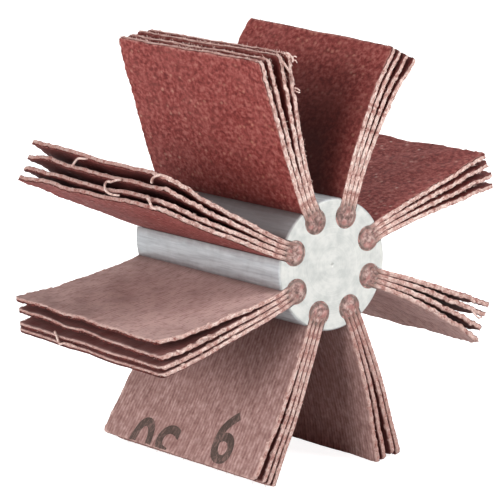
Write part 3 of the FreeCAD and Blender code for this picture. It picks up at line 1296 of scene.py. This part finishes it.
def makeBolder(piece, amount):
    # moves the outline of a flat mesh outward
    points = readPoints(piece)
    uses = {}
    for face in piece.data.polygons:
        for a, b in face.edge_keys:
            uses[a, b] = uses.get((a, b), 0) + 1
    way = np.zeros_like(points)
    for face in piece.data.polygons:
        corners = list(face.vertices)
        for a, b in zip(corners, corners[1:] + corners[:1]):
            if uses[min(a, b), max(a, b)] == 1:
                side = (points[b] - points[a])[[1, 0, 2]] * (1, -1, 0) * face.normal.z
                way[[a, b]] += side / max(np.linalg.norm(side), 1e-9)
    size = np.linalg.norm(way, axis=1, keepdims=True)
    writePoints(piece, points + amount * way / np.maximum(size, 1e-9))


def makeNumber(name, text, keptHeight):
    # flat glyphs, cut into a fine grid that can follow the flap
    clearSelection()
    bpy.ops.object.text_add()
    piece = named(name)
    piece.data.body = text
    piece.data.size = printed["height"] / printed["heightShare"]
    bpy.ops.object.convert(target="MESH")
    bpy.ops.object.mode_set(mode="EDIT")
    mergePoints(tiny)
    bpy.ops.object.mode_set(mode="OBJECT")
    makeBolder(piece, printed["bolder"])
    width = max(v.co.x for v in piece.data.vertices)
    bpy.ops.object.mode_set(mode="EDIT")
    for reach, normal in ((width, Vector((1, 0, 0))), (printed["height"], Vector((0, 1, 0)))):
        for step in range(1, int(reach / printed["grid"]) + 1):
            cutAlong(step * printed["grid"] * normal, normal)
    cutAlong((0, keptHeight, 0), (0, 1, 0), drop=True)
    bpy.ops.object.mode_set(mode="OBJECT")
    return piece


def makePrint():
    ink = inkMaterial()
    packIndex, flap = printed["pack"] - 1, printed["flap"] - 1
    length = flapLength(packIndex, flap)
    for number, (text, foot, left) in enumerate(printed["marks"]):
        keptHeight = length - foot - printed["endsBefore"]
        piece = makeNumber(f"printedNumber_{number + 1}", text, keptHeight)
        glyph = readPoints(piece)
        s = foot + glyph[:, 1]
        y = -hubLength + left + glyph[:, 0]
        h = -flapShape["thickness"] / 2 - printed["gapToCloth"] + flapWave(packIndex, flap, s, y, length)
        flat = np.stack([s, y, h], 1)
        keepPlaces(piece, "flat", flat)
        writePoints(piece, placed(flat, packIndex, flap))
        dress(piece, ink)
        hand(piece, "abrasive_cloth")


hubShape = {
    "corner": 0.05 * mm,
    "cornerAngle": 35,
    "smoothAngle": 30,
    "flatAngle": 0.3,
    "wallBand": 0.05 * mm,      # which points belong to the bore's wall
    "mouthBand": 0.1 * mm,
}

tap = {
    "majorRadius": 3.175 * mm,
    "minorRadius": 2.55 * mm,
    "pitch": 1.27 * mm,
    "crest": (0.42, 0.58),      # shares of the pitch
    "turns": 10,
    "turnSteps": 48,
    "startsBelow": 0.45 * mm,
    "mouth": 3.45 * mm,
}


def makeHub():
    # the slotted hub, its bore opened to the thread's full depth and every corner broken
    clearSelection()
    piece = bpy.data.objects.new("slottedHub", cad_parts["hub"].data.copy())
    piece.data.name = "slottedHub"
    bpy.context.scene.collection.objects.link(piece)
    pick(piece)
    bpy.ops.object.mode_set(mode="EDIT")
    mergePoints(tiny)
    bpy.ops.mesh.dissolve_limited(angle_limit=math.radians(hubShape["flatAngle"]))
    bpy.ops.object.mode_set(mode="OBJECT")
    points = readPoints(piece)
    radius = np.hypot(points[:, 0], points[:, 2])
    wall = np.abs(radius - tap["minorRadius"]) < hubShape["wallBand"]
    mouth = wall & (points[:, 1] > -hubShape["mouthBand"])
    wanted = np.where(mouth, tap["mouth"], tap["majorRadius"])
    grow = np.where(wall, wanted / np.maximum(radius, 1e-9), 1)
    points[:, 0] *= grow
    points[:, 2] *= grow
    writePoints(piece, points)
    addBevel(piece, "corner", hubShape["corner"], 2, hubShape["cornerAngle"])
    applyAll(piece)
    smooth(piece, hubShape["smoothAngle"])
    for face in piece.data.polygons:
        if abs(face.normal.y) > 0.999:
            face.use_smooth = False
    dress(piece, materials["aluminium"])
    hand(piece, "hub", "hub")


def makeThread():
    # a right-hand thread lining the bore: one pitch of profile, screwed along the axis
    clearSelection()
    bpy.ops.mesh.primitive_circle_add(vertices=3, radius=tap["majorRadius"])
    piece = named("tappedThread")
    piece.data.clear_geometry()
    major, minor, pitch = tap["majorRadius"], tap["minorRadius"], tap["pitch"]
    profile = [(major, 0.0), (minor, tap["crest"][0]), (minor, tap["crest"][1]), (major, 1.0)]
    piece.data.from_pydata([(r, 0, t * pitch) for r, t in profile], [(0, 1), (1, 2), (2, 3)], [])
    screw = piece.modifiers.new("screw", "SCREW")
    screw.angle = math.tau
    screw.screw_offset = pitch
    screw.iterations = tap["turns"]
    screw.steps = tap["turnSteps"]
    screw.render_steps = tap["turnSteps"]
    screw.use_merge_vertices = True
    screw.merge_threshold = tiny
    piece.rotation_euler = (math.radians(90), 0, 0)
    applyAll(piece)
    settle(piece)
    bpy.ops.object.mode_set(mode="EDIT")
    mergePoints(2 * tiny)
    cutAlong((0, -tap["startsBelow"], 0), (0, 1, 0), drop=True)
    bpy.ops.object.mode_set(mode="OBJECT")
    smooth(piece, hubShape["smoothAngle"])
    dress(piece, materials["aluminium"])
    hand(piece, "hub")


rootFill = {
    "pitchRadius": 7.2 * mm,
    "radius": 1.70 * mm,
    "rise": 0.13 * mm,
    "segments": 40,
    "waves": 5,
    "waveLength": 1.1 * mm,
    "waveHeight": 0.0225 * mm,
}


def makeRootFill(packIndex):
    # the lumpy face of the resin that holds the flap roots in a keyhole
    angle = slotAngle(packIndex)
    out, segments = rootFill["pitchRadius"], rootFill["segments"]
    centre = (out * math.cos(angle), -hubLength, out * math.sin(angle))
    clearSelection()
    bpy.ops.mesh.primitive_uv_sphere_add(
        segments=segments, ring_count=segments // 2, radius=rootFill["radius"], location=centre,
    )
    piece = named(f"rootFill_{packIndex + 1}")
    piece.rotation_euler = (math.radians(90), 0, 0)
    piece.scale = (1, 1, rootFill["rise"] / rootFill["radius"])
    settle(piece)
    points = readPoints(piece)
    lot = random.Random(60 + packIndex)
    for axis in range(3):
        for _ in range(rootFill["waves"]):
            way = np.array([lot.uniform(-1, 1) for _ in range(3)])
            phase = lot.uniform(0, math.tau)
            wave = np.sin(points @ way * math.tau / rootFill["waveLength"] + phase)
            points[:, axis] += wave * rootFill["waveHeight"]
    writePoints(piece, points)
    away = np.hypot(points[:, 0] - centre[0], points[:, 2] - centre[2])
    keepValues(piece, "ringShare", away / rootFill["radius"])
    pick(piece)
    bpy.ops.object.shade_smooth()
    dress(piece, materials["resin"])
    hand(piece, "root_resin")


def dressBeads():
    for number in range(1, flapShape["slots"] + 1):
        dress(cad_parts[f"root_bead_{number}"], materials["resin"])


bpy.context.scene.view_settings.view_transform = "Standard"
placeCamera()
say("camera")

materials = {
    "grit": gritMaterial(grainGroup()),
    "cloth": clothMaterial(weaveGroup()),
    "edge": edgeMaterial(cutEdgeGroup()),
    "thread": yarnMaterial(),
    "resin": resinMaterial(),
    "aluminium": aluminiumMaterial(streakGroup()),
}
say("materials")

makeHub()
makeThread()
dressBeads()
for packIndex in range(flapShape["slots"]):
    makeRootFill(packIndex)
say("hub")

for packIndex in range(flapShape["slots"]):
    for flap in range(flapShape["inPack"]):
        makeFlap(packIndex, flap)
say("flaps")

for packIndex in range(flapShape["slots"]):
    makeFibres(packIndex)
    makeEdgeYarns(packIndex)
makeLooseThreads()
makePrint()
say("fibres")

buildStage(cadBox[0][2])

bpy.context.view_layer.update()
say("done")
